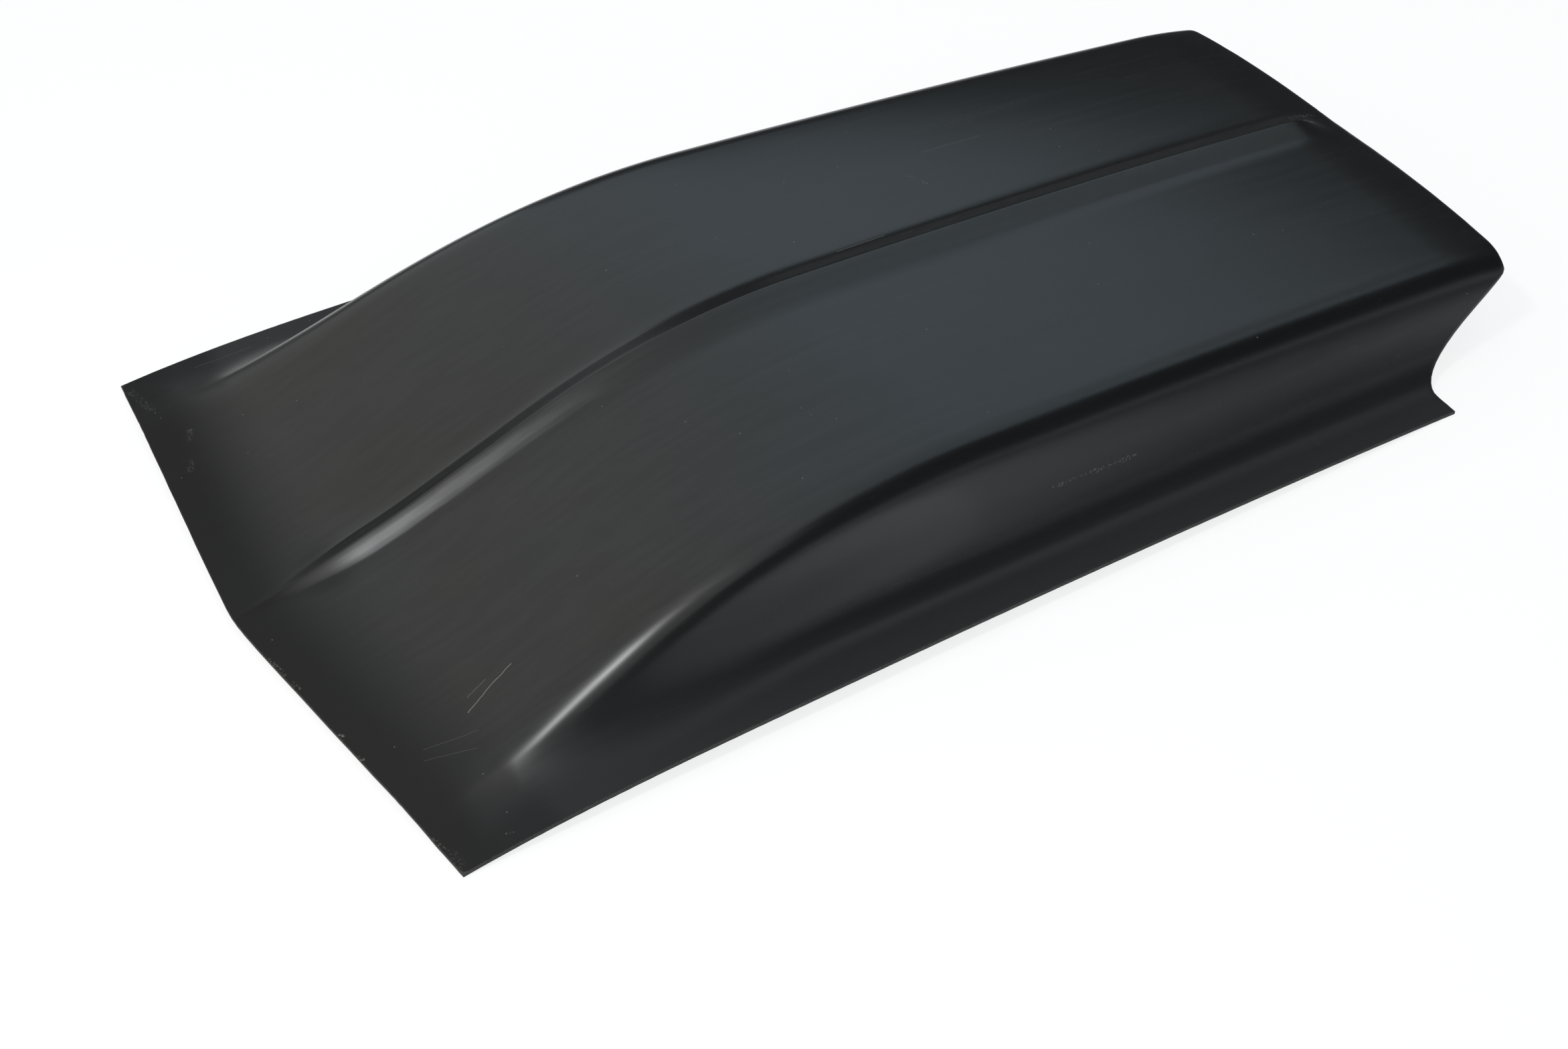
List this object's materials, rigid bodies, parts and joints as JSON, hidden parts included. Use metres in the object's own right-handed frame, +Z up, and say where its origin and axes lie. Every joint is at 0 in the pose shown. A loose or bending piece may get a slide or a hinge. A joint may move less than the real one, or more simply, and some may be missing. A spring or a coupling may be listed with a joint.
{
  "type": "bonnet scoop",
  "caption": "Rear-opening bonnet scoop: a thin moulded shell with a ramped front, crowned roof, centre spine, side walls and a flange that is bonded to the bonnet.",
  "frame": {"origin": "on the centre line, midway between nose tip and rear lip, at the height of the flange's lowest corners", "axes": "+Z up, +Y towards the rear opening, X across the car"},
  "size_m": [0.6922, 1.1548, 0.148],
  "materials": {
    "black_gelcoat": "satin black gelcoat"
  },
  "bodies": {
    "root": {"scoop_shell": "black_gelcoat"}
  },
  "joints": []
}
